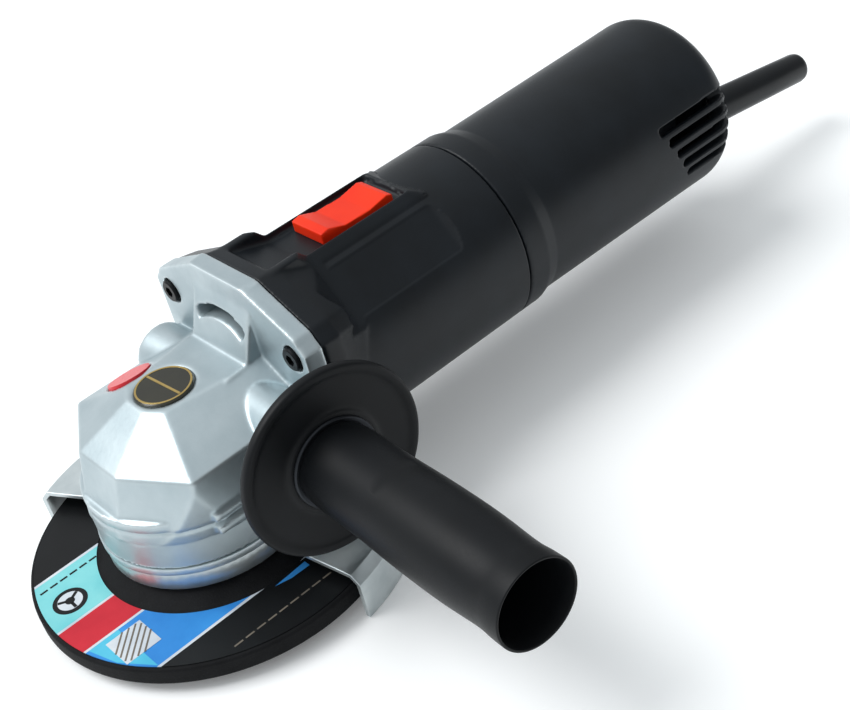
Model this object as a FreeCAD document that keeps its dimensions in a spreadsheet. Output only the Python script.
"""Angle grinder for 115 mm discs, with its gear head, motor, switch, guard and side handle.

Millimetres, +Z up. The spindle turns about Z and its outer end face is at the origin.
The motor lies along +X at motor_z above that face, and the side handle points along -Y.
"""
import FreeCAD, Part
import math
import os
import re

import Sketcher
from FreeCAD import Rotation, Vector

doc = FreeCAD.newDocument("angle_grinder")

# ---------------------------------------------------------------- driving dimensions

SIZES = {
    # spindle, disc and its clamping parts, heights above the spindle's end
    "disc_rad": 57.5, "disc_thick": 6.0, "disc_low": 2.0, "disc_rise": 4.5,
    "hub_foot_rad": 35.5, "hub_top_rad": 25.0, "arbor_rad": 11.12, "bush_rad": 13.0,
    "label_in_rad": 36.5, "label_out_rad": 54.0, "label_thick": 0.3,
    "thread_rad": 6.95, "nut_rad": 19.5, "nut_low": 1.0, "pin_hole_rad": 2.5, "pin_hole_ring": 15.0,
    "flange_rad": 19.0, "flange_top": 17.0, "shoulder_rad": 9.5, "shoulder_top": 21.0,
    "gear_seat_rad": 6.0, "needle_rad": 4.0, "spindle_top": 56.0,
    # gear pair
    "gear_ratio": 3.0, "pinion_teeth": 12, "gear_rad": 24.5, "face_width": 7.5,
    "backlash": 0.1, "gear_low": 33.5, "web_top": 38.5, "gear_hub_rad": 9.5, "gear_hub_top": 41.0,
    "lock_holes": 12, "lock_hole_rad": 2.7,
    # gear housing: the faceted head at three levels, each with its front, slanted, side and back faces
    "motor_z": 47.0, "foot_z": 30.0, "foot_front": 31.2, "foot_slant": 31.4, "foot_side": 31.6,
    "foot_back": 31.6, "edge_z": 51.0, "edge_front": 25.6, "edge_slant": 27.2, "edge_side": 31.2,
    "edge_back": 31.2, "crown_z": 61.0, "crown_front": 8.5, "crown_slant": 9.6, "crown_side": 10.2,
    "crown_back": 14.9, "corner_rad": 34.2,
    # gear housing: the round column below, its grooves and side ribs, and the rooms inside
    "column_rad": 31.6, "column_low": 21.0, "column_top": 38.0, "groove_low": 24.6, "groove_width": 0.9,
    "groove_depth": 0.5, "rib_pitch": 4.8, "rib_height": 2.8, "rib_reach": 32.4, "rib_front": -11.0,
    "rib_back": 22.0, "gear_room_rad": 26.5, "gear_room_side": 44.5, "gear_room_top": 49.5,
    "post_rad": 8.6, "tunnel_rad": 11.5, "spigot_rad": 20.0, "badge_rad": 9.1, "badge_x": 1.7,
    # gear housing: the ramp, the air slot and the flange with its screw ears
    "ramp_half": 14.2, "ramp_start": 14.0, "ear_front": 27.5, "joint_x": 33.7, "ear_half": 38.0,
    "ear_top": 26.5, "brow_half": 13.0, "brow_top": 36.6, "belly": 31.0, "ear_low": 22.0,
    "screw_y": 31.0, "screw_z": 20.0, "screw_rad": 2.2, "screw_head_rad": 3.7,
    "air_in_rad": 22.6, "air_out_rad": 26.0, "air_angle": 58.0,
    "handle_x": 20.5, "handle_z": 48.5, "handle_lean": 2.7, "boss_rad": 9.5, "boss_end": 33.5,
    "tap_rad": 3.4, "tap_depth": 12.0, "lug_rad": 4.6, "lug_height": 9.5,
    # bearing retainer and guard
    "collar_rad": 29.6, "relief_rad": 34.5, "collar_low": 14.6, "collar_top": 18.8, "retainer_ring": 24.8,
    "band_in_rad": 29.75, "band_out_rad": 31.5, "band_low": 12.7, "band_top": 18.4,
    "plate_thick": 1.5, "guard_rad": 62.2, "guard_low": -1.5, "guard_sweep": 199.0,
    "guard_middle": 18.5, "clamp_azimuth": 110.0,
    # spindle lock
    "lock_y": 14.4, "lock_pin_rad": 2.2, "lock_pin_low": 39.6, "lock_travel": 3.0, "button_y": 18.6,
    "button_rad": 6.9, "button_low": 53.7, "button_high": 62.0, "button_high_y": 10.2, "button_slope": 25.2,
    "well_gap": 0.2, "guide_rad": 5.0, "guide_low": 42.6, "spring_low": 45.5, "spring_pocket_rad": 3.4,
    "spring_rad": 2.75, "spring_wire_rad": 0.3, "spring_pitch": 1.2,
    # motor
    "shaft_rad": 5.0, "rotor_rad": 17.5, "rotor_front": 62.0, "rotor_back": 104.0, "rotor_slots": 12,
    "air_gap": 0.5, "stator_rad": 28.3, "stator_flat": 25.4, "fan_rad": 26.5, "fan_front": 40.0,
    "fan_back": 52.0, "fan_blades": 13, "commutator_rad": 10.5, "commutator_front": 120.0,
    "commutator_back": 136.0, "commutator_bars": 24, "rear_bearing_x": 146.0,
    # housings along the motor axis
    "tube_rad": 31.7, "tube_bore": 28.6, "seam_x": 115.6, "cover_waist": 30.3, "cover_rad": 31.0,
    "cover_bore": 27.8, "rim_x": 206.0, "end_x": 218.0, "core_rad": 27.0, "core_bore": 24.8,
    "recess_front": 53.0, "recess_back": 91.0, "recess_half": 10.0, "recess_floor": 29.9,
    "saddle_half": 13.2, "saddle_top": 35.8, "flank_depth": 30.2,
    "slider_front": 61.0, "slider_back": 88.5, "slider_half": 9.6, "slider_top": 34.4,
    "link_low": 25.8, "vent_width": 3.0, "vent_pitch": 9.5,
    # cord entry: a straight base, a gentle downward bend and a straight tail
    "boot_drop": 15.4, "boot_base_rad": 6.8, "boot_rad": 6.2, "boot_end_rad": 5.6, "cable_rad": 3.6,
    "boot_straight": 222.0, "boot_bend_rad": 100.0, "boot_turn": 8.4, "boot_tail": 52.0,
    # side handle, from the spindle's plane outwards along its own axis
    "grip_start": 34.0, "grip_collar_rad": 8.0, "grip_flare_rad": 14.0, "shield_y": 52.0,
    "shield_thick": 3.4, "shield_rad": 28.7, "grip_neck_rad": 12.2, "grip_waist_rad": 12.6,
    "grip_belly_rad": 13.15, "grip_tail_rad": 12.1, "grip_end_rad": 12.65, "grip_end": 136.6,
    "grip_wall": 2.3, "grip_lip": 0.7, "grip_plug": 72.0, "stud_rad": 3.95,
}

dims = doc.addObject("Spreadsheet::Sheet", "dims")
for row, (alias, value) in enumerate(SIZES.items(), start=1):
    dims.set(f"A{row}", alias)
    dims.set(f"B{row}", str(value))
    dims.setAlias(f"B{row}", alias)
doc.recompute()


def size(alias):
    """The sheet's value of one dimension, as a plain number."""
    return float(dims.get(alias))


def formula(text):
    """Turn 'tube_rad - 2' into 'dims.tube_rad - 2'; names of functions stay as they are."""
    return re.sub(r"\b([a-z]\w*)\b(?!\()", r"dims.\1", text)


def bind(thing, **values):
    """Bind properties of an object to formulas over the sheet."""
    for name, text in values.items():
        thing.setExpression(name, formula(text))


# ---------------------------------------------------------------- building helpers

ALONG_MOTOR = Rotation(Vector(1, 1, 1), 120)   # local x, y, z become world Y, Z, X
ALONG_HANDLE = Rotation(Vector(1, 0, 0), 90)   # local z becomes world -Y
UPRIGHT = Rotation()
MOTOR = {"z": "motor_z", "turn": ALONG_MOTOR}
LEAN = size("handle_lean")
HANDLE_TURN = Rotation(Vector(0, 0, 1), -LEAN).multiply(ALONG_HANDLE)
FAR_HANDLE_TURN = Rotation(Vector(0, 0, 1), LEAN).multiply(Rotation(Vector(1, 0, 0), -90))
HANDLE = {"x": "handle_x", "z": "handle_z", "turn": HANDLE_TURN}


def place(thing, x="0", y="0", z="0", turn=UPRIGHT):
    """Give an object its Placement, with its base point bound to the sheet."""
    thing.Placement = FreeCAD.Placement(Vector(), turn)
    for axis, text in (("x", x), ("y", y), ("z", z)):
        thing.setExpression(f"Placement.Base.{axis}", formula(text))


def new_body(label, **where):
    body = doc.addObject("PartDesign::Body", label)
    body.Label = label
    place(body, **where)
    return body


def new_sketch(body, name, plane, lift="0"):
    """A sketch on one of the body's own origin planes, lifted along its normal."""
    sketch = body.newObject("Sketcher::SketchObject", name)
    support = [f for f in body.Origin.OriginFeatures if f.Role == plane][0]
    sketch.AttachmentSupport = (support, [""])
    sketch.MapMode = "FlatFace"
    sketch.setExpression("AttachmentOffset.Base.z", formula(lift))
    return sketch


def add_polygon(sketch, corners):
    """A closed outline whose corners are bound to pairs of formulas."""
    first = sketch.GeometryCount
    count = len(corners)
    rough = [Vector(math.cos(math.tau * i / count), math.sin(math.tau * i / count)) for i in range(count)]
    lines = [Part.LineSegment(rough[i], rough[(i + 1) % count]) for i in range(count)]
    sketch.addGeometry(lines)
    for i in range(count):
        following = (i + 1) % count
        sketch.addConstraint(Sketcher.Constraint("Coincident", first + i, 2, first + following, 1))
    for i, (across, up) in enumerate(corners):
        for kind, value, text in (("DistanceX", rough[i].x, across), ("DistanceY", rough[i].y, up)):
            index = sketch.addConstraint(Sketcher.Constraint(kind, -1, 1, first + i, 1, value))
            sketch.setExpression(f"Constraints[{index}]", formula(text))


def add_circle(sketch, across, up, radius):
    """A circle whose centre and radius are bound to formulas."""
    circle = sketch.addGeometry(Part.Circle(Vector(1, 1), Vector(0, 0, 1), 1))
    kinds = (("DistanceX", across), ("DistanceY", up))
    for kind, text in kinds:
        index = sketch.addConstraint(Sketcher.Constraint(kind, -1, 1, circle, 3, 1.0))
        sketch.setExpression(f"Constraints[{index}]", formula(text))
    index = sketch.addConstraint(Sketcher.Constraint("Radius", circle, 1.0))
    sketch.setExpression(f"Constraints[{index}]", formula(radius))


def revolve(body, name, profile, angle="360"):
    """Turn a profile of (radius, height) corners about the body's Z axis."""
    sketch = new_sketch(body, name + "_profile", "XZ_Plane")
    add_polygon(sketch, profile)
    feature = body.newObject("PartDesign::Revolution", name)
    feature.Profile = sketch
    feature.ReferenceAxis = (sketch, ["V_Axis"])
    bind(feature, Angle=angle)
    return feature


def turned(label, profile, **where):
    """A turned piece: one profile of (radius, height) corners, about its own Z axis."""
    body = new_body(label, **where)
    revolve(body, label + "_turned", profile)
    return body


def ring(label, inner, outer, low, high, **where):
    """A plain ring, or a solid disc where inner is '0'."""
    corners = [(inner, low), (outer, low), (outer, high), (inner, high)]
    return turned(label, corners, **where)


def pad(body, name, corners, low, length):
    """Extrude an outline of (x, y) corners upwards from the height low."""
    sketch = new_sketch(body, name + "_outline", "XY_Plane", low)
    add_polygon(sketch, corners)
    feature = body.newObject("PartDesign::Pad", name)
    feature.Profile = sketch
    bind(feature, Length=length)
    return feature


def cut_through(body, name, low, length, corners=None, circles=()):
    """Cut an outline or circles upwards from the height low."""
    sketch = new_sketch(body, name + "_outline", "XY_Plane", low)
    if corners:
        add_polygon(sketch, corners)
    for across, up, radius in circles:
        add_circle(sketch, across, up, radius)
    feature = body.newObject("PartDesign::Pocket", name)
    feature.Profile = sketch
    feature.Reversed = True
    bind(feature, Length=length)
    return feature


def polar(body, name, feature, count):
    """Repeat a feature around the body's Z axis."""
    pattern = body.newObject("PartDesign::PolarPattern", name)
    pattern.Originals = [feature]
    axis = [f for f in body.Origin.OriginFeatures if f.Role == "Z_Axis"][0]
    pattern.Axis = (axis, [""])
    pattern.Angle = 360
    bind(pattern, Occurrences=count)
    body.Tip = pattern
    return pattern


def rounded(body, name, radius, chosen):
    """Fillet the edges of the body that the test chosen(edge) accepts, in local coordinates."""
    doc.recompute()
    base = body.Tip
    names = [f"Edge{i}" for i, edge in enumerate(base.Shape.Edges, start=1) if chosen(edge)]
    feature = body.newObject("PartDesign::Fillet", name)
    feature.Base = (base, names)
    bind(feature, Radius=radius)
    return feature


def circle_at(radius, height):
    """A test for round edges about Z with this radius and height."""
    def chosen(edge):
        curve = edge.Curve
        if not isinstance(curve, Part.Circle):
            return False
        return abs(curve.Radius - radius) < 0.01 and abs(edge.CenterOfMass.z - height) < 0.01
    return chosen


def box(label, length, width, height, **where):
    piece = doc.addObject("Part::Box", label)
    piece.Label = label
    bind(piece, Length=length, Width=width, Height=height)
    place(piece, **where)
    return piece


def cylinder(label, radius, height, **where):
    piece = doc.addObject("Part::Cylinder", label)
    piece.Label = label
    bind(piece, Radius=radius, Height=height)
    place(piece, **where)
    return piece


def fused(label, pieces):
    union = doc.addObject("Part::MultiFuse", label)
    union.Label = label
    union.Shapes = pieces
    return union


def common(label, pieces):
    overlap = doc.addObject("Part::MultiCommon", label)
    overlap.Label = label
    overlap.Shapes = pieces
    return overlap


def cut(label, base, tools):
    """Base less one tool or a fused set of tools."""
    tool = tools[0] if len(tools) == 1 else fused(label + "_tools", tools)
    difference = doc.addObject("Part::Cut", label)
    difference.Label = label
    difference.Base = base
    difference.Tool = tool
    return difference


def group(label, pieces):
    """Identical loose pieces kept together as one node of separate solids."""
    return fused(label, pieces)


def four_ways(across, up):
    """The four sign combinations of a rectangle's corner."""
    return [(a + across, b + up) for a in ("", "-") for b in ("", "-")]


# ---------------------------------------------------------------- spindle and disc

def make_spindle():
    spindle = turned("spindle", [
        ("0", "0"), ("thread_rad", "0"), ("thread_rad", "flange_top"), ("shoulder_rad", "flange_top"),
        ("shoulder_rad", "shoulder_top"), ("gear_seat_rad", "shoulder_top"),
        ("gear_seat_rad", "gear_hub_top + 2"), ("needle_rad", "gear_hub_top + 2"),
        ("needle_rad", "spindle_top"), ("0", "spindle_top")])
    key_seat = [("-2.02", "gear_seat_rad - 1.22"), ("2.02", "gear_seat_rad - 1.22"),
                ("2.02", "gear_seat_rad + 1"), ("-2.02", "gear_seat_rad + 1")]
    cut_through(spindle, "key_seat", "gear_low + 0.4", "gear_hub_top - gear_low - 0.8", corners=key_seat)
    return spindle


def make_disc():
    top = "disc_low + disc_thick"
    hub_low = "disc_low + disc_rise"
    hub_top = "disc_low + disc_rise + disc_thick"
    disc = turned("grinding_disc", [
        ("bush_rad", hub_low), ("hub_top_rad - 3", hub_low), ("hub_foot_rad - 3", "disc_low"),
        ("disc_rad - 0.8", "disc_low"), ("disc_rad", "disc_low + 0.8"), ("disc_rad", top + " - 0.8"),
        ("disc_rad - 0.8", top), ("hub_foot_rad", top), ("hub_top_rad", hub_top), ("bush_rad", hub_top)])
    bush = ring("disc_bush", "arbor_rad", "bush_rad", hub_low, hub_top)
    label = ring("disc_label", "label_in_rad", "label_out_rad", "0", "label_thick", z=top)
    return disc, bush, label


def make_disc_nut():
    hub_low = "disc_low + disc_rise"
    nut = turned("disc_nut", [
        ("thread_rad + 0.05", "nut_low"), ("nut_rad - 1", "nut_low"), ("nut_rad", "nut_low + 1"),
        ("nut_rad", hub_low), ("arbor_rad - 0.1", hub_low), ("arbor_rad - 0.1", hub_low + " + 2.7"),
        ("thread_rad + 0.05", hub_low + " + 2.7")])
    holes = [("pin_hole_ring", "0", "pin_hole_rad"), ("-pin_hole_ring", "0", "pin_hole_rad")]
    cut_through(nut, "pin_holes", "nut_low", "4", circles=holes)
    return nut


def make_inner_flange():
    hub_top = "disc_low + disc_rise + disc_thick"
    flange = turned("inner_flange", [
        ("thread_rad + 0.05", hub_top + " - 2.7"), ("arbor_rad - 0.1", hub_top + " - 2.7"),
        ("arbor_rad - 0.1", hub_top), ("flange_rad", hub_top), ("flange_rad", "flange_top - 1"),
        ("flange_rad - 1", "flange_top"), ("thread_rad + 0.05", "flange_top")])
    return flange


# ---------------------------------------------------------------- bevel gears

def tooth(cone_angle, azimuth, half_widths, inner_scale, cone_length):
    """One straight bevel tooth: a flat outline at the large end, shrunk towards the apex.

    The gear's own axis is -Z from the apex at the origin. half_widths lists (height above
    the pitch cone, half the tooth's width) from root to tip.
    """
    spin = Rotation(Vector(0, 0, 1), math.degrees(azimuth))
    along = spin.multVec(Vector(math.sin(cone_angle), 0, -math.cos(cone_angle)))
    outward = spin.multVec(Vector(math.cos(cone_angle), 0, math.sin(cone_angle)))
    sideways = spin.multVec(Vector(0, 1, 0))
    right = [along * cone_length + outward * rise + sideways * half for rise, half in half_widths]
    left = [along * cone_length + outward * rise - sideways * half for rise, half in half_widths]
    outline = right + left[::-1]
    large = Part.makePolygon(outline + outline[:1])
    small = Part.makePolygon([p * inner_scale for p in outline + outline[:1]])
    return Part.makeLoft([large, small], True, True)


def involute(angle):
    return math.tan(angle) - angle


def make_gears():
    teeth = int(size("pinion_teeth"))
    ratio = size("gear_ratio")
    pitch_rad = size("gear_rad")
    module = 2 * pitch_rad / (teeth * ratio)
    gear_cone = math.atan(ratio)
    pinion_cone = math.pi / 2 - gear_cone
    cone_length = pitch_rad / math.sin(gear_cone)
    inner_scale = 1 - size("face_width") / cone_length
    pressure = math.radians(20)
    quarter = math.pi * module / 4 - size("backlash")

    gear_tip, gear_root = 0.65 * module, 1.3 * module
    gear_flank = [(rise, quarter - rise * math.tan(pressure)) for rise in (-gear_root, gear_tip)]
    gear_pitch_drop = pitch_rad / ratio
    apex_z = size("motor_z")
    crown_shapes = [tooth(gear_cone, math.tau * (i + 0.5) / (teeth * ratio), gear_flank,
                          inner_scale, cone_length) for i in range(int(teeth * ratio))]
    root_rise = gear_root - 0.15 * module
    root_out = (pitch_rad - root_rise * math.cos(gear_cone),
                -gear_pitch_drop - root_rise * math.sin(gear_cone))
    root_in = (root_out[0] * inner_scale, root_out[1] * inner_scale)
    low = size("gear_low") - apex_z
    web = size("web_top") - apex_z
    hub_top = size("gear_hub_top") - apex_z
    hub_rad = size("gear_hub_rad")
    bore = size("gear_seat_rad") + 0.01
    blank = [(bore, low), (root_out[0] - 1, low), (root_out[0] + 0.4, low + 1.5), root_out, root_in,
             (root_in[0] - 0.6, web), (hub_rad, web), (hub_rad, hub_top), (bore, hub_top)]
    outline = [Vector(r, 0, z) for r, z in blank]
    face = Part.Face(Part.makePolygon(outline + outline[:1]))
    solid = face.revolve(Vector(), Vector(0, 0, 1), 360)
    solid = solid.multiFuse(crown_shapes)
    for i in range(int(size("lock_holes"))):
        angle = math.pi / 2 + math.tau * i / size("lock_holes")
        centre = Vector(size("lock_y") * math.cos(angle), size("lock_y") * math.sin(angle), low - 1)
        hole = Part.makeCylinder(size("lock_hole_rad"), web - low + 3, centre)
        solid = solid.cut(hole)
    key_slot = Part.makeBox(4.04, 3.0, hub_top - low + 2, Vector(-2.02, bore - 0.6, low - 1))
    crown = doc.addObject("Part::Feature", "crown_gear")
    crown.Label = "crown_gear"
    crown.Shape = solid.cut(key_slot)
    crown.Placement = FreeCAD.Placement(Vector(0, 0, apex_z), Rotation())

    virtual_rad = module * teeth / (2 * math.cos(pinion_cone))
    base_rad = virtual_rad * math.cos(pressure)
    pinion_tip, pinion_root = 1.15 * module, 0.95 * module
    half_angle = quarter / virtual_rad + involute(pressure)

    def half_width(radius):
        """Height above the pitch circle and half width of the involute tooth at a radius."""
        reach = max(radius, base_rad)
        angle = half_angle - involute(math.acos(base_rad / reach))
        return radius * math.cos(angle) - virtual_rad, radius * math.sin(angle)

    steps = [-pinion_root, base_rad - virtual_rad, 0.1 * module, 0.6 * module, pinion_tip]
    pinion_flank = [half_width(virtual_rad + rise) for rise in steps]
    pinion_shapes = [tooth(pinion_cone, math.tau * i / teeth, pinion_flank, inner_scale, cone_length)
                     for i in range(teeth)]
    root_rad = pitch_rad / ratio - 0.85 * module * math.cos(pinion_cone)
    root_z = -pitch_rad - 0.85 * module * math.sin(pinion_cone)
    shaft_bore = size("needle_rad") + 0.01
    front = root_z * inner_scale
    hub_end = -pitch_rad - 2.8
    blank = [(shaft_bore, front), (root_rad * inner_scale, front), (root_rad, root_z), (6.4, root_z - 0.5),
             (6.4, hub_end), (shaft_bore, hub_end)]
    outline = [Vector(r, 0, z) for r, z in blank]
    face = Part.Face(Part.makePolygon(outline + outline[:1]))
    solid = face.revolve(Vector(), Vector(0, 0, 1), 360).multiFuse(pinion_shapes)
    bore_tool = Part.makeCylinder(shaft_bore, 60, Vector(0, 0, -50))
    pinion = doc.addObject("Part::Feature", "drive_pinion")
    pinion.Label = "drive_pinion"
    pinion.Shape = solid.cut(bore_tool)
    pinion.Placement = FreeCAD.Placement(Vector(0, 0, apex_z), Rotation(Vector(0, 1, 0), -90))

    key = box("gear_key", "4", "2.4", "gear_hub_top - gear_low - 1", x="-2", y="gear_seat_rad - 1.2",
              z="gear_low + 0.5")
    return crown, pinion, key


# ---------------------------------------------------------------- gear housing

def head_outline(level):
    """Plan of the head at one level: a front face, two faces slanted by 30 degrees, and two sides."""
    front_corner = f"2 * ({level}_slant - {level}_front * cos(30deg))"
    side_corner = f"({level}_side * sin(30deg) - {level}_slant) / cos(30deg)"
    half = [(f"-{level}_front", front_corner), (side_corner, f"{level}_side"),
            ("ear_front", f"{level}_back")]
    return half + [(across, f"-({up})") for across, up in reversed(half)]


def make_head_block():
    """The faceted head: upright walls with a little draft, then sloping facets up to the flat crown."""
    block = new_body("head_block")
    sketches = []
    for level in ("foot", "edge", "crown"):
        sketch = new_sketch(block, f"head_{level}", "XY_Plane", f"{level}_z")
        add_polygon(sketch, head_outline(level))
        sketches.append(sketch)
    loft = block.newObject("PartDesign::AdditiveLoft", "head_loft")
    loft.Profile = sketches[0]
    loft.Sections = sketches[1:]
    loft.Ruled = True
    corner_limit = turned("corner_limit", [
        ("0", "foot_z"), ("column_rad + 0.1", "foot_z"), ("corner_rad", "edge_z - 4"),
        ("corner_rad", "crown_z"), ("0", "crown_z")])
    back_limit = box("back_limit", "ear_front", "2 * foot_back", "crown_z - foot_z", y="-foot_back",
                     z="foot_z")
    return common("head_front", [block, fused("head_limit", [corner_limit, back_limit])])


def flange_outline(inset):
    """Outline of the joint between gear head and motor, as (y, z from the motor axis) corners."""
    half = [(f"brow_half - {inset}", f"brow_top - {inset}"),
            (f"ear_half - 4 - {inset}", f"ear_top + 1 - {inset}"),
            (f"ear_half - {inset}", f"ear_top - 3.5 - {inset}"),
            (f"ear_half - {inset}", f"-ear_low + {inset}"),
            (f"ear_half - 6 - {inset}", f"-ear_low - 6 + {inset}"),
            (f"brow_half - {inset}", f"-belly + {inset}")]
    mirrored = [("-(" + across + ")", up) for across, up in reversed(half)]
    return half + mirrored


def make_head_solid():
    """The gear housing's outside, still solid: head, column, side ribs, ramp, flange and handle bosses."""
    column = cylinder("head_column", "column_rad", "column_top - column_low", z="column_low")
    ribs = [box(f"side_rib_{number}", "rib_back - rib_front", "2 * rib_reach", "rib_height", x="rib_front",
                y="-rib_reach", z=f"column_top - rib_height - {number} * rib_pitch") for number in range(2)]
    ramp = new_body("air_ramp", y="ramp_half", turn=ALONG_HANDLE)
    pad(ramp, "air_ramp_pad", [
        ("ramp_start", "crown_z - 6"), ("ramp_start", "crown_z"), ("ear_front - 5.9", "crown_z + 0.4"),
        ("ear_front - 0.2", "crown_z + 15"), ("ear_front + 0.7", "motor_z + brow_top - 0.6"),
        ("joint_x", "motor_z + brow_top"), ("joint_x", "crown_z - 6")], "0", "2 * ramp_half")
    flange = new_body("head_flange", **MOTOR)
    pad(flange, "head_flange_pad", flange_outline("0"), "ear_front", "joint_x - ear_front")
    bosses = [cylinder(f"handle_boss_{side}", "boss_rad", "boss_end", x="handle_x", z="handle_z", turn=turn)
              for side, turn in (("right", HANDLE_TURN), ("left", FAR_HANDLE_TURN))]
    return fused("head_solid", [make_head_block(), column, ramp, flange] + ribs + bosses)


def head_grooves():
    """Shallow grooves round the front of the column."""
    grooves = []
    for number in range(3):
        low = f"groove_low + {number} * rib_pitch"
        band = ring(f"groove_band_{number}", "column_rad - groove_depth", "column_rad + 9", "0",
                    "groove_width", z=low)
        span = box(f"groove_span_{number}", "column_rad + 20", "100", "groove_width + 2",
                   x="-(column_rad + 9)", y="-50", z=f"{low} - 1")
        grooves.append(common(f"groove_{number}", [band, span]))
    return grooves


def ear_circles(label, radius, low, length):
    """Four posts on the ear screws' axes, as one tool."""
    body = new_body(label, **MOTOR)
    sketch = new_sketch(body, label + "_circles", "XY_Plane", low)
    for across, up in four_ways("screw_y", "screw_z"):
        add_circle(sketch, across, up, radius)
    posts = body.newObject("PartDesign::Pad", label + "_pad")
    posts.Profile = sketch
    bind(posts, Length=length)
    return body


def head_rooms():
    """Everything cut out of the solid head."""
    gear_room = turned("gear_room", [
        ("0", "0"), ("gear_room_rad", "0"), ("gear_room_rad", "gear_room_side"),
        ("post_rad + 3.4", "gear_room_top"), ("post_rad", "gear_room_top"), ("post_rad", "motor_z + 1"),
        ("0", "motor_z + 1")])
    needle_bore = cylinder("needle_bore", "needle_rad + 2.02", "spindle_top - motor_z + 1", z="motor_z")
    tunnel = turned("pinion_tunnel", [
        ("0", "9.8"), ("tunnel_rad", "9.8"), ("tunnel_rad", "27"), ("spigot_rad", "27"),
        ("spigot_rad", "joint_x + 1"), ("0", "joint_x + 1")], **MOTOR)
    slot_start = Rotation(Vector(0, 0, 1), 90 - size("air_angle") / 2)
    air = new_body("air_slot", z="motor_z", turn=ALONG_MOTOR.multiply(slot_start))
    revolve(air, "air_slot_turned", [
        ("air_in_rad", "ear_front - 14"), ("air_out_rad", "ear_front - 14"),
        ("air_out_rad", "joint_x + 1"), ("air_in_rad", "joint_x + 1")], "air_angle")
    screw_holes = ear_circles("ear_holes", "screw_rad + 0.02", "ear_front - 1", "joint_x - ear_front + 2")
    counterbores = ear_circles("ear_counterbores", "screw_head_rad + 0.4", "ear_front - 3.5", "6")
    taps = [turned(f"handle_tap_{side}", [
        ("0", "boss_end - tap_depth"), ("tap_rad", "boss_end - tap_depth"), ("tap_rad", "boss_end + 1"),
        ("0", "boss_end + 1")], x="handle_x", z="handle_z", turn=turn)
        for side, turn in (("right", HANDLE_TURN), ("left", FAR_HANDLE_TURN))]
    badge_seat = cylinder("badge_seat", "badge_rad + 0.2", "4", x="badge_x", z="crown_z - 0.9")
    band_relief = cylinder("band_relief", "relief_rad", "column_low")
    return [gear_room, needle_bore, tunnel, air, screw_holes, counterbores, badge_seat, band_relief] + taps


WELL_FLOOR = "button_low - lock_travel - well_gap"   # the pressed button stops just above this level


def retainer_spots():
    """The four places of the retainer's screws."""
    return four_ways("retainer_ring * cos(45deg)", "retainer_ring * sin(45deg)")


def make_gear_housing():
    outside = cut("gear_housing_body", make_head_solid(), head_rooms() + head_grooves())
    spots = list(enumerate(retainer_spots()))
    lugs = [cylinder(f"retainer_lug_{n}", "lug_rad", "lug_height", x=x, y=y, z="column_low + 2.1")
            for n, (x, y) in spots]
    lug_limit = cylinder("lug_limit", "column_rad - 1", "40", z="column_low")
    lugs_inside = common("retainer_lugs", [fused("lug_set", lugs), lug_limit])
    pin_guide = cylinder("pin_guide", "guide_rad", f"{WELL_FLOOR} - guide_low", y="lock_y", z="guide_low")
    whole = fused("housing_with_lugs", [outside, lugs_inside, pin_guide])

    holes = [cylinder(f"lug_hole_{n}", "2.02", "11", x=x, y=y, z="column_low - 1") for n, (x, y) in spots]
    pin_way = cylinder("pin_way", "lock_pin_rad + 0.05", "20", y="lock_y", z="guide_low - 1")
    spring_pocket = cylinder("spring_pocket", "spring_pocket_rad", "10", y="lock_y", z="spring_low")
    button_well = cylinder("button_well", "button_rad + 0.3", "20", y="button_y", z=WELL_FLOOR)
    return cut("gear_housing", whole, holes + [pin_way, spring_pocket, button_well])


# ---------------------------------------------------------------- turned and fastened head pieces

def make_retainer():
    body = turned("bearing_retainer", [
        ("shoulder_rad + 0.4", "flange_top + 0.5"), ("flange_rad + 1", "flange_top + 0.5"),
        ("flange_rad + 1", "collar_low"), ("collar_rad", "collar_low"), ("collar_rad", "collar_top"),
        ("column_rad + 0.4", "collar_top"), ("column_rad + 0.4", "column_low"),
        ("gear_room_rad - 0.1", "column_low"), ("gear_room_rad - 0.1", "column_low + 2"),
        ("19", "column_low + 2"), ("19", "column_low + 10"), ("16.02", "column_low + 10"),
        ("16.02", "column_low"), ("shoulder_rad + 0.4", "column_low")])
    spots = retainer_spots()
    cut_through(body, "retainer_holes", "collar_low - 1", "12", circles=[(x, y, "2.1") for x, y in spots])
    cut_through(body, "retainer_wells", "collar_low - 1", "4.2", circles=[(x, y, "3.6") for x, y in spots])
    screws = []
    for number, (x, y) in enumerate(spots):
        screw = turned(f"retainer_screw_{number}", [
            ("0", "collar_low + 0.3"), ("3.3", "collar_low + 0.3"), ("3.3", "collar_low + 3.2"),
            ("2", "collar_low + 3.2"), ("2", "column_low + 9"), ("0", "column_low + 9")], x=x, y=y)
        screws.append(screw)
    return body, group("retainer_screws", screws)


def make_bearing(label, bore, outer, low, width, **where):
    """A ball bearing as one ring with the grooves between its shields and races."""
    gap = f"({outer} - {bore}) * 0.3"
    return turned(label, [
        (bore, low), (f"{bore} + {gap}", low), (f"{bore} + {gap}", f"{low} + 0.4"),
        (f"{outer} - {gap}", f"{low} + 0.4"), (f"{outer} - {gap}", low), (outer, low),
        (outer, f"{low} + {width}"), (f"{outer} - {gap}", f"{low} + {width}"),
        (f"{outer} - {gap}", f"{low} + {width} - 0.4"), (f"{bore} + {gap}", f"{low} + {width} - 0.4"),
        (f"{bore} + {gap}", f"{low} + {width}"), (bore, f"{low} + {width}")], **where)


def hex_corners(reach):
    """Corners of a hexagon with this distance across its flats, halved."""
    corner = f"({reach}) / cos(30deg)"
    return [(f"{corner} * cos({60 * i}deg)", f"{corner} * sin({60 * i}deg)") for i in range(6)]


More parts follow.
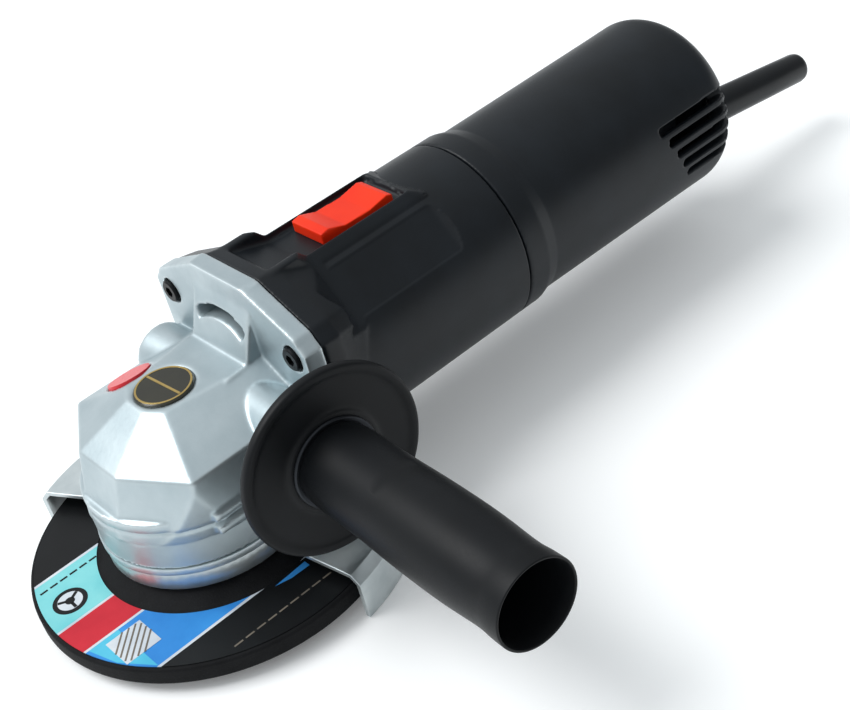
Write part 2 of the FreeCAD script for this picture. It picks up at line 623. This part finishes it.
def make_head_fittings():
    lower = make_bearing("lower_bearing", "gear_seat_rad + 0.02", "16", "column_low + 0.02", "9.9")
    needle = ring("needle_bearing", "needle_rad + 0.02", "needle_rad + 2", "motor_z + 1.5", "spindle_top")
    seal = ring("felt_seal", "shoulder_rad + 0.05", "shoulder_rad + 0.38", "flange_top + 0.7",
                "column_low - 0.3")
    badge = turned("badge", [
        ("0", "crown_z - 0.9"), ("badge_rad", "crown_z - 0.9"), ("badge_rad", "crown_z + 0.2"),
        ("badge_rad - 0.7", "crown_z + 0.6"), ("0", "crown_z + 0.6")], x="badge_x")
    screws = []
    for number, (across, up) in enumerate(four_ways("screw_y", "screw_z")):
        screw = new_body(f"housing_screw_{number}", y=across, z=f"motor_z + ({up})", turn=ALONG_MOTOR)
        revolve(screw, f"housing_screw_turned_{number}", [
            ("0", "ear_front - 1"), ("screw_head_rad - 0.5", "ear_front - 1"),
            ("screw_head_rad", "ear_front - 0.5"), ("screw_head_rad", "ear_front + 2.5"),
            ("screw_rad - 0.02", "ear_front + 2.5"), ("screw_rad - 0.02", "joint_x + 8"),
            ("0", "joint_x + 8")])
        cut_through(screw, f"hex_socket_{number}", "ear_front - 1.5", "2.6", corners=hex_corners("1.6"))
        screws.append(screw)
    return lower, needle, seal, badge, group("housing_screws", screws)


def make_lock():
    blank = ring("button_blank", "0", "button_rad", "button_low", "button_high", y="button_y")
    slope = box("button_slope_cut", "30", "40", "20", x="-15", y="button_high_y", z="button_high",
                turn=Rotation(Vector(1, 0, 0), -size("button_slope")))
    socket = cylinder("pin_socket", "lock_pin_rad + 0.01", "4", y="lock_y", z="button_low - 1")
    button = cut("lock_button", blank, [slope, socket])
    pin = turned("lock_pin", [
        ("0", "lock_pin_low"), ("lock_pin_rad - 0.5", "lock_pin_low"),
        ("lock_pin_rad", "lock_pin_low + 0.6"), ("lock_pin_rad", "button_low + 3"),
        ("0", "button_low + 3")], y="lock_y")
    coil = doc.addObject("Part::Helix", "lock_spring_path")
    bind(coil, Radius="spring_rad", Height="button_low - spring_low - 0.8", Pitch="spring_pitch")
    wire = doc.addObject("Part::RegularPolygon", "lock_spring_wire")
    wire.Polygon = 8
    bind(wire, Circumradius="spring_wire_rad")
    place(wire, x="spring_rad", turn=Rotation(Vector(1, 0, 0), 90))
    spring = doc.addObject("Part::Sweep", "lock_spring")
    spring.Label = "lock_spring"
    spring.Sections = [wire]
    spring.Spine = (coil, ["Edge1"])
    spring.Solid = True
    spring.Frenet = True
    place(spring, y="lock_y", z="spring_low + 0.4")
    return button, pin, spring


# ---------------------------------------------------------------- guard

def make_guard():
    start = size("guard_middle") - size("guard_sweep") / 2
    shell = new_body("guard_shell", turn=Rotation(Vector(0, 0, 1), start))
    plate_top = "band_low + plate_thick"
    revolve(shell, "guard_turned", [
        ("band_out_rad + 0.03", "band_low"), ("guard_rad - 3.5", "band_low"),
        ("guard_rad - plate_thick", "band_low - 2"), ("guard_rad - plate_thick", "guard_low"),
        ("guard_rad", "guard_low"), ("guard_rad", "band_low - 1.4"), ("guard_rad - 2.9", plate_top),
        ("band_out_rad + 0.03", plate_top)], "guard_sweep")
    band = turned("guard_band_full", [("band_in_rad", "band_low"), ("band_out_rad", "band_low"),
                                      ("band_out_rad", "band_top"), ("band_in_rad", "band_top")])
    turn = Rotation(Vector(0, 0, 1), size("clamp_azimuth"))
    ears = box("guard_ears", "9", "10", "band_top - band_low - plate_thick - 0.1", turn=turn,
               x="(band_out_rad - 0.6) * cos(clamp_azimuth * 1deg) + 5 * sin(clamp_azimuth * 1deg)",
               y="(band_out_rad - 0.6) * sin(clamp_azimuth * 1deg) - 5 * cos(clamp_azimuth * 1deg)",
               z="band_low + plate_thick + 0.1")
    slit = box("guard_slit", "14", "4", "12", turn=turn,
               x="(band_in_rad - 2) * cos(clamp_azimuth * 1deg) + 2 * sin(clamp_azimuth * 1deg)",
               y="(band_in_rad - 2) * sin(clamp_azimuth * 1deg) - 2 * cos(clamp_azimuth * 1deg)",
               z="band_low - 1")
    across = turn.multiply(Rotation(Vector(1, 0, 0), -90))
    reach = "(band_out_rad + 4)"
    middle = "(band_low + plate_thick + band_top) / 2 + 0.05"

    def on_screw(label, radius, start_at, length):
        """A cylinder on the clamp screw's axis, start_at from the slit's middle."""
        return cylinder(label, radius, length, turn=across,
                        x=f"{reach} * cos(clamp_azimuth * 1deg) - ({start_at}) * sin(clamp_azimuth * 1deg)",
                        y=f"{reach} * sin(clamp_azimuth * 1deg) + ({start_at}) * cos(clamp_azimuth * 1deg)",
                        z=middle)
    screw_hole = on_screw("guard_screw_hole", "1.6", "-9", "18")
    clamp = cut("guard_band", fused("guard_band_solid", [band, ears]), [slit, screw_hole])
    shank = on_screw("guard_screw_shank", "1.55", "-5", "12.6")
    head = on_screw("guard_screw_head", "1.8", "-7.4", "2.4")
    screw = fused("guard_screw", [shank, head])
    nut_blank = on_screw("guard_nut_blank", "1.85", "5", "2.2")
    nut_bore = on_screw("guard_nut_bore", "1.57", "4", "5")
    nut = cut("guard_nut", nut_blank, [nut_bore])
    return shell, clamp, screw, nut


# ---------------------------------------------------------------- motor

def make_rotor():
    shaft = turned("armature_shaft", [
        ("0", "10.8"), ("3", "10.8"), ("3", "17.2"), ("needle_rad", "17.2"), ("needle_rad", "27.7"),
        ("shaft_rad", "27.7"), ("shaft_rad", "138"), ("needle_rad", "138"), ("needle_rad", "154.5"),
        ("0", "154.5")], **MOTOR)
    nut = new_body("pinion_nut", **MOTOR)
    pad(nut, "pinion_nut_pad", hex_corners("5"), "12", "5")
    cut_through(nut, "pinion_nut_bore", "11", "7", circles=[("0", "0", "3.02")])
    core = ring("armature_core", "shaft_rad + 0.02", "rotor_rad", "rotor_front", "rotor_back", **MOTOR)
    slot = cut_through(core, "rotor_slot", "rotor_front - 1", "rotor_back - rotor_front + 2", corners=[
        ("8", "-1.6"), ("15.6", "-2.6"), ("15.6", "-1.1"), ("rotor_rad + 1", "-1.1"),
        ("rotor_rad + 1", "1.1"), ("15.6", "1.1"), ("15.6", "2.6"), ("8", "1.6")])
    polar(core, "rotor_slots_pattern", slot, "rotor_slots")
    coils = []
    for name, low, high in (("front", "rotor_front - 6", "rotor_front - 0.1"),
                            ("back", "rotor_back + 0.1", "rotor_back + 9")):
        coils.append(turned(f"winding_{name}", [
            ("7", low), ("12", low), ("15.4", f"({low}) * 0.6 + ({high}) * 0.4"), ("15.4", high),
            ("7", high)], **MOTOR))
    windings = group("armature_windings", coils)
    commutator = turned("commutator", [
        ("shaft_rad + 0.02", "commutator_front"), ("commutator_rad + 1.2", "commutator_front"),
        ("commutator_rad + 1.2", "commutator_front + 2.4"), ("commutator_rad", "commutator_front + 2.4"),
        ("commutator_rad", "commutator_back"), ("shaft_rad + 0.02", "commutator_back")], **MOTOR)
    gap = [("commutator_rad - 1", "-0.25"), ("commutator_rad + 2", "-0.25"),
           ("commutator_rad + 2", "0.25"), ("commutator_rad - 1", "0.25")]
    groove = cut_through(commutator, "bar_gap", "commutator_front - 1",
                         "commutator_back - commutator_front + 2", corners=gap)
    polar(commutator, "bar_gaps", groove, "commutator_bars")
    return shaft, nut, core, windings, commutator


def make_fan():
    fan = turned("cooling_fan", [
        ("shaft_rad + 0.02", "fan_front + 1"), ("9", "fan_front + 1"), ("9", "fan_back - 2.4"),
        ("fan_rad", "fan_back - 1.6"), ("fan_rad", "fan_back"), ("shaft_rad + 0.02", "fan_back")],
        **MOTOR)
    blade = pad(fan, "fan_blade", [("8", "-1.4"), ("17", "-0.2"), ("fan_rad - 0.4", "3.4"),
                                   ("fan_rad - 0.9", "4.8"), ("16.4", "1.4"), ("8", "0.2")],
                "fan_front", "fan_back - fan_front - 1.8")
    polar(fan, "fan_blades_pattern", blade, "fan_blades")
    return fan


def make_stator():
    blank = ring("stator_blank", "rotor_rad + air_gap", "stator_rad", "rotor_front", "rotor_back", **MOTOR)
    flats = box("stator_flats", "rotor_back - rotor_front", "80", "2 * stator_flat", x="rotor_front", y="-40",
                z="motor_z - stator_flat")
    windows = []
    window_spots = (("-25.3", "6"), ("-25.3", "-14"), ("17.3", "6"), ("17.3", "-14"))
    for number, (side, height) in enumerate(window_spots):
        windows.append(box(f"stator_window_{number}", "rotor_back - rotor_front + 2", "8", "8",
                           x="rotor_front - 1", y=side, z=f"motor_z + ({height})"))
    core = cut("stator_core", common("stator_shape", [blank, flats]), windows)
    coils = []
    for number, (side, low) in enumerate((("-24.8", "6.4"), ("-24.8", "-13.6"), ("17.9", "6.4"),
                                          ("17.9", "-13.6"))):
        coils.append(box(f"coil_side_{number}", "rotor_back - rotor_front + 8", "6.8", "7.2",
                         x="rotor_front - 4", y=side, z=f"motor_z + ({low})"))
    return core, group("field_coils", coils)


def make_brushes():
    holders, brushes, springs = [], [], []
    middle = "(commutator_front + commutator_back) / 2 + 1"
    for name, side in (("left", 1), ("right", -1)):
        turn = ALONG_HANDLE if side < 0 else Rotation(Vector(1, 0, 0), -90)
        where = {"x": middle, "z": "motor_z", "turn": turn}
        holder = new_body(f"holder_{name}", **where)
        pad(holder, f"holder_{name}_pad", [("-5", "-3.5"), ("5", "-3.5"), ("5", "3.5"), ("-5", "3.5")],
            "12.5", "13")
        cut_through(holder, f"holder_{name}_bore", "12", "14", corners=[
            ("-4.1", "-2.6"), ("4.1", "-2.6"), ("4.1", "2.6"), ("-4.1", "2.6")])
        holders.append(holder)
        brush = new_body(f"brush_{name}", **where)
        pad(brush, f"brush_{name}_pad", [("-4", "-2.5"), ("4", "-2.5"), ("4", "2.5"), ("-4", "2.5")],
            "commutator_rad + 0.3", "9.6")
        brushes.append(brush)
        springs.append(ring(f"spring_{name}", "1.2", "2.2", "commutator_rad + 10.1", "25.3", **where))
    return group("brush_holders", holders), group("carbon_brushes", brushes), group("brush_springs", springs)


def make_motor_supports():
    plate = turned("bearing_plate", [
        ("6", "27.6"), ("14.4", "27.6"), ("spigot_rad - 0.1", "29"),
        ("spigot_rad - 0.1", "joint_x + 0.1"), ("tube_bore + 0.4", "joint_x + 0.1"),
        ("tube_bore + 0.4", "joint_x + 2.4"), ("15.4", "joint_x + 2.4"), ("15.4", "36.8"),
        ("13.02", "36.8"), ("13.02", "28.6"), ("6", "28.6")], **MOTOR)
    slot = cut_through(plate, "air_window", "joint_x - 1", "5", corners=[
        ("21.6", "-3.4"), ("27.4", "-4.2"), ("27.4", "4.2"), ("21.6", "3.4")])
    polar(plate, "air_windows", slot, "8")
    front = make_bearing("front_bearing", "shaft_rad + 0.02", "13", "28.7", "8", **MOTOR)
    rear = make_bearing("rear_bearing", "needle_rad + 0.02", "11", "rear_bearing_x", "7", **MOTOR)
    sleeve = ring("bearing_sleeve", "11.01", "13", "rear_bearing_x", "rear_bearing_x + 7", **MOTOR)
    baffle = turned("fan_baffle", [
        ("19.5", "fan_back + 1.4"), ("tube_bore - 0.1", "fan_back + 1.4"),
        ("tube_bore - 0.1", "fan_back + 3.4"), ("21", "fan_back + 3.4")], **MOTOR)
    return plate, front, rear, sleeve, baffle


# ---------------------------------------------------------------- motor housing, switch and rear cover

def make_motor_housing():
    tube = turned("housing_tube", [
        ("tube_bore", "joint_x + 0.1"), ("tube_rad", "joint_x + 0.1"), ("tube_rad", "seam_x - 0.4"),
        ("core_rad", "seam_x - 0.4"), ("core_rad", "rear_bearing_x + 9"), ("13.02", "rear_bearing_x + 9"),
        ("13.02", "rear_bearing_x - 0.5"), ("core_bore", "rear_bearing_x - 0.5"),
        ("core_bore", "rotor_back + 4"), ("tube_bore", "rotor_back + 4")], **MOTOR)
    flare = new_body("housing_flare", **MOTOR)
    ends = []
    for number, (lift, inset) in enumerate((("joint_x + 0.1", "0.3"), ("joint_x + 7", "1.2"))):
        sketch = new_sketch(flare, f"flare_end_{number}", "XY_Plane", lift)
        add_polygon(sketch, flange_outline(inset))
        ends.append(sketch)
    narrow = new_sketch(flare, "flare_waist", "XY_Plane", "joint_x + 24")
    angles = (63, 39, 28, -30, -45, -62)
    waist = [(f"(tube_rad - 0.6) * cos({a}deg)", f"(tube_rad - 0.6) * sin({a}deg)") for a in angles]
    add_polygon(narrow, waist + [("-" + across, up) for across, up in reversed(waist)])
    loft = flare.newObject("PartDesign::AdditiveLoft", "flare_loft")
    loft.Profile = ends[0]
    loft.Sections = [ends[1], narrow]
    loft.Ruled = True

    saddle = new_body("switch_saddle", y="saddle_half", z="motor_z", turn=ALONG_HANDLE)
    pad(saddle, "switch_saddle_pad", [
        ("joint_x + 5", "20"), ("joint_x + 5", "brow_top - 1"), ("recess_front", "saddle_top"),
        ("recess_front + 10", "saddle_top"), ("recess_back - 3", "saddle_top - 1.4"),
        ("recess_back + 6", "tube_rad - 1.7"), ("recess_back + 8", "20")], "0", "2 * saddle_half")
    solid = fused("motor_housing_solid", [tube, flare, saddle])

    bore = turned("motor_bore", [
        ("0", "joint_x - 1"), ("tube_bore", "joint_x - 1"), ("tube_bore", "rotor_back + 4"),
        ("0", "rotor_back + 4")], **MOTOR)
    plate_seat = ring("plate_seat", "0", "tube_bore + 0.45", "joint_x - 1", "joint_x + 2.6", **MOTOR)
    recess = new_body("switch_recess", y="recess_half", z="motor_z", turn=ALONG_HANDLE)
    pad(recess, "switch_recess_pad", [
        ("joint_x + 4", "saddle_top + 6"), ("joint_x + 6", "saddle_top - 2"),
        ("recess_front", "recess_floor"), ("recess_back", "recess_floor"),
        ("recess_back + 5", "saddle_top + 6")], "0", "2 * recess_half")
    foot_slot = box("foot_slot", "16", "6", "9", x="slider_front + 2", y="-3", z="motor_z + 24")
    flanks = []
    for name, tilt in (("left", 45), ("right", -45)):
        flank = new_body(f"flank_{name}", z="motor_z", turn=Rotation(Vector(1, 0, 0), tilt - 90))
        pad(flank, f"flank_{name}_pad", [
            ("joint_x + 12", "-(tube_rad + 4)"), ("joint_x + 19", "-flank_depth"),
            ("recess_back + 4", "-flank_depth"), ("recess_back + 12", "-(tube_rad + 4)")], "-24", "48")
        flanks.append(flank)
    windows = []
    for name, low in (("left", "core_bore - 1"), ("right", "-core_rad - 1")):
        windows.append(box(f"brush_window_{name}", "11", "core_rad - core_bore + 2", "8",
                           x="(commutator_front + commutator_back) / 2 - 4.5", y=low, z="motor_z - 4"))
    link_way = box("link_way", "70", "9", "3.4", x="rotor_back + 2", y="-4.5", z="motor_z + 25.2")
    ears = ear_circles("housing_taps", "screw_rad", "joint_x - 1", "10.5")
    hollows = [bore, plate_seat, recess, foot_slot, link_way, ears]
    return cut("motor_housing", solid, hollows + flanks + windows)


def make_switch():
    slider = new_body("slider_top", y="slider_half", z="motor_z", turn=ALONG_HANDLE)
    pad(slider, "slider_pad", [
        ("slider_front", "recess_floor + 0.3"), ("slider_front", "slider_top"),
        ("slider_front + 3", "slider_top + 0.6"), ("slider_front + 9", "slider_top - 1.8"),
        ("slider_back - 9", "slider_top - 2"), ("slider_back - 2", "slider_top - 0.6"),
        ("slider_back", "slider_top - 1.4"), ("slider_back", "recess_floor + 0.3")], "0",
        "2 * slider_half")
    foot = box("slider_foot", "5", "3", "5", x="slider_front + 9", y="-1.5", z="motor_z + link_low")
    button = fused("switch_slider", [slider, foot])
    rod = new_body("link_rod", y="2.5", z="motor_z", turn=ALONG_HANDLE)
    pad(rod, "link_rod_pad", [
        ("slider_front + 4", "link_low"), ("170", "link_low"), ("170", "20"), ("171.6", "20"),
        ("171.6", "link_low + 1.3"), ("slider_front + 4", "link_low + 1.3")], "0", "5")
    eye = box("link_eye", "5.2", "3.2", "8", x="slider_front + 8.9", y="-1.6", z="motor_z + 22")
    link = cut("switch_link", rod, [eye])
    case = box("switch_case", "30", "21", "22", x="178", y="-10.5", z="motor_z - 6")
    lever = box("switch_lever", "4.6", "6", "5", x="173.4", y="-3", z="motor_z + 8")
    terminals = [box(f"switch_terminal_{n}", "5", "4.8", "0.8", x="208", y=f"-7.5 + {n} * 10", z="motor_z")
                 for n in range(2)]
    unit = fused("switch_unit", [case, lever] + terminals)
    capacitor = turned("capacitor", [
        ("0", "160"), ("6", "160"), ("6.5", "160.6"), ("6.5", "175.4"), ("6", "176"), ("0", "176")],
        y="-15", z="motor_z - 12", turn=ALONG_MOTOR)
    return button, link, unit, capacitor


def make_rear_cover():
    shell = new_body("cover_shell", **MOTOR)
    revolve(shell, "cover_turned", [
        ("cover_bore", "seam_x"), ("tube_rad", "seam_x"), ("tube_rad", "seam_x + 8.4"),
        ("cover_waist", "seam_x + 12.5"), ("cover_rad", "rim_x - 6"), ("cover_rad + 0.2", "end_x"),
        ("0", "end_x"), ("0", "end_x - 2.6"), ("cover_bore - 8.5", "end_x - 2.6"),
        ("cover_bore", "end_x - 11.1")])
    rounded(shell, "cover_rim", "10", circle_at(size("cover_rad") + 0.2, size("end_x")))
    tools = []
    for side, turn in (("right", 180), ("left", 0)):
        for number in range(5):
            lift = 2 - number
            slot = box(f"vent_{side}_{number}", "40", "9", "vent_width", x=f"rim_x - 25 + {number} * 2.6",
                       z="motor_z")
            angle = lift * size("vent_pitch")
            tilt = Rotation(Vector(1, 0, 0), angle if side == "left" else 180 - angle)
            inward = tilt.multVec(Vector(0, size("cover_bore") - 2.2, -size("vent_width") / 2))
            slot.Placement.Rotation = tilt
            slot.setExpression("Placement.Base.y", f"{inward.y:.4f}")
            slot.setExpression("Placement.Base.z", f"dims.motor_z + ({inward.z:.4f})")
            tools.append(slot)
    boot_hole = cylinder("boot_hole", "boot_base_rad + 0.1", "20", x="end_x - 9", z="motor_z - boot_drop",
                         turn=Rotation(Vector(0, 1, 0), 90))
    tools.append(boot_hole)
    screws = []
    for number, side in enumerate(("-", "")):
        spot = {"y": f"{side}17", "z": "motor_z + 12"}
        tools.append(cylinder(f"cover_hole_{number}", "1.8", "12", x="end_x - 6",
                              turn=Rotation(Vector(0, 1, 0), 90), **spot))
        tools.append(cylinder(f"cover_well_{number}", "3.6", "6", x="end_x - 1.4",
                              turn=Rotation(Vector(0, 1, 0), 90), **spot))
        screw = new_body(f"cover_screw_{number}", turn=ALONG_MOTOR, **spot)
        revolve(screw, f"cover_screw_turned_{number}", [
            ("0", "rear_bearing_x + 9.2"), ("1.5", "rear_bearing_x + 9.2"), ("1.5", "end_x - 1.3"),
            ("3.3", "end_x - 1.3"), ("3.3", "end_x + 0.3"), ("2.8", "end_x + 0.8"), ("0", "end_x + 0.8")])
        screws.append(screw)
    return cut("rear_cover", shell, tools), group("cover_screws", screws)


def make_boot():
    """The bend protector: a flanged straight base, a bend about the Y axis and a straight tail."""
    base = turned("boot_base", [
        ("cable_rad", "end_x - 11.6"), ("boot_base_rad + 1", "end_x - 11.6"),
        ("boot_base_rad + 1", "end_x - 9.2"), ("boot_base_rad", "end_x - 9.2"),
        ("boot_base_rad", "end_x + 0.6"), ("boot_rad", "boot_straight"), ("cable_rad", "boot_straight")],
        z="motor_z - boot_drop", turn=ALONG_MOTOR)
    rings = []
    for name, radius in (("outer", "boot_rad"), ("inner", "cable_rad")):
        bend = doc.addObject("Part::Torus", f"boot_bend_{name}")
        bend.Label = f"boot_bend_{name}"
        bind(bend, Radius1="boot_bend_rad", Radius2=radius, Angle3="boot_turn")
        place(bend, x="boot_straight", z="motor_z - boot_drop - boot_bend_rad",
              turn=ALONG_MOTOR.multiply(ALONG_MOTOR))
        rings.append(bend)
    bend = cut("boot_bend", rings[0], rings[1:])
    tail = turned("boot_tail_piece", [
        ("cable_rad", "0"), ("boot_rad", "0"), ("boot_end_rad", "boot_tail - 3"),
        ("boot_end_rad - 1.4", "boot_tail"), ("cable_rad", "boot_tail")],
        x="boot_straight + boot_bend_rad * sin(boot_turn * 1deg)",
        z="motor_z - boot_drop - boot_bend_rad * (1 - cos(boot_turn * 1deg))",
        turn=Rotation(Vector(0, 1, 0), 90 + size("boot_turn")))
    return fused("cord_boot", [base, bend, tail])


def make_cord_entry():
    boot = make_boot()
    clamp = new_body("cord_clamp", y="-11", z="motor_z - boot_drop")
    pad(clamp, "clamp_pad", [
        ("end_x - 24", "0"), ("end_x - 16", "0"), ("end_x - 16", "22"), ("end_x - 24", "22")], "3.8", "3")
    holes = [("end_x - 20", "3.6", "1.55"), ("end_x - 20", "18.4", "1.55")]
    cut_through(clamp, "clamp_holes", "3", "5", circles=holes)
    screws = [turned(f"clamp_screw_{n}", [
        ("0", "-3"), ("1.5", "-3"), ("1.5", "6.9"), ("2.8", "6.9"), ("2.8", "8.6"), ("0", "8.6")],
        x="end_x - 20", y=f"-7.4 + {n} * 14.8", z="motor_z - boot_drop") for n in range(2)]
    return boot, clamp, group("clamp_screws", screws)


# ---------------------------------------------------------------- side handle

def make_handle():
    grip = turned("handle_grip", [
        ("stud_rad + 0.01", "grip_start"), ("grip_collar_rad", "grip_start"),
        ("grip_collar_rad", "ear_half + 2"), ("grip_flare_rad", "ear_half + 6"),
        ("grip_flare_rad", "shield_y"), ("grip_neck_rad", "shield_y"),
        ("grip_neck_rad", "shield_y + shield_thick + 0.6"), ("grip_waist_rad", "60"),
        ("grip_waist_rad", "80"), ("grip_belly_rad", "93"), ("grip_belly_rad", "111"),
        ("grip_tail_rad", "grip_end - 8"), ("grip_end_rad", "grip_end - 4"), ("grip_end_rad", "grip_end"),
        ("grip_end_rad - grip_lip", "grip_end"), ("grip_end_rad - 1.6", "grip_end - 2"),
        ("grip_neck_rad - grip_wall", "grip_plug"), ("stud_rad + 0.01", "grip_plug")], **HANDLE)
    shield = turned("hand_shield", [
        ("grip_neck_rad + 0.02", "shield_y + 0.05"), ("shield_rad - 1", "shield_y + 0.05"),
        ("shield_rad", "shield_y + 0.8"), ("shield_rad", "shield_y + shield_thick - 0.8"),
        ("shield_rad - 1", "shield_y + shield_thick"),
        ("grip_neck_rad + 0.02", "shield_y + shield_thick")],
        **HANDLE)
    stud = turned("handle_stud", [
        ("0", "boss_end - tap_depth + 1"), ("tap_rad - 0.03", "boss_end - tap_depth + 1"),
        ("tap_rad - 0.03", "boss_end + 0.2"), ("stud_rad", "boss_end + 0.2"),
        ("stud_rad", "grip_plug - 4"), ("0", "grip_plug - 4")], **HANDLE)
    return grip, shield, stud


# ---------------------------------------------------------------- the whole tool, checked and written

pieces = [make_spindle(), *make_disc(), make_disc_nut(), make_inner_flange(), *make_gears(),
          make_gear_housing(), *make_retainer(), *make_head_fittings(), *make_lock(), *make_guard(),
          *make_rotor(), make_fan(), *make_stator(), *make_brushes(), *make_motor_supports(),
          make_motor_housing(), *make_switch(), *make_rear_cover(), *make_cord_entry(), *make_handle()]
doc.recompute()

failed = [thing.Label for thing in doc.Objects if "Invalid" in thing.State or "Error" in thing.State]
if failed:
    raise RuntimeError(f"these objects failed: {failed}")
os.makedirs("parts", exist_ok=True)
for piece in pieces:
    shape = piece.Shape
    if shape.isNull() or not shape.isValid():
        raise RuntimeError(f"{piece.Label} has no valid shape")
    shape.exportStep(f"parts/{piece.Label}.step")
    print(f"{piece.Label}: {len(shape.Solids)} solids, {shape.Volume:.1f} mm3")
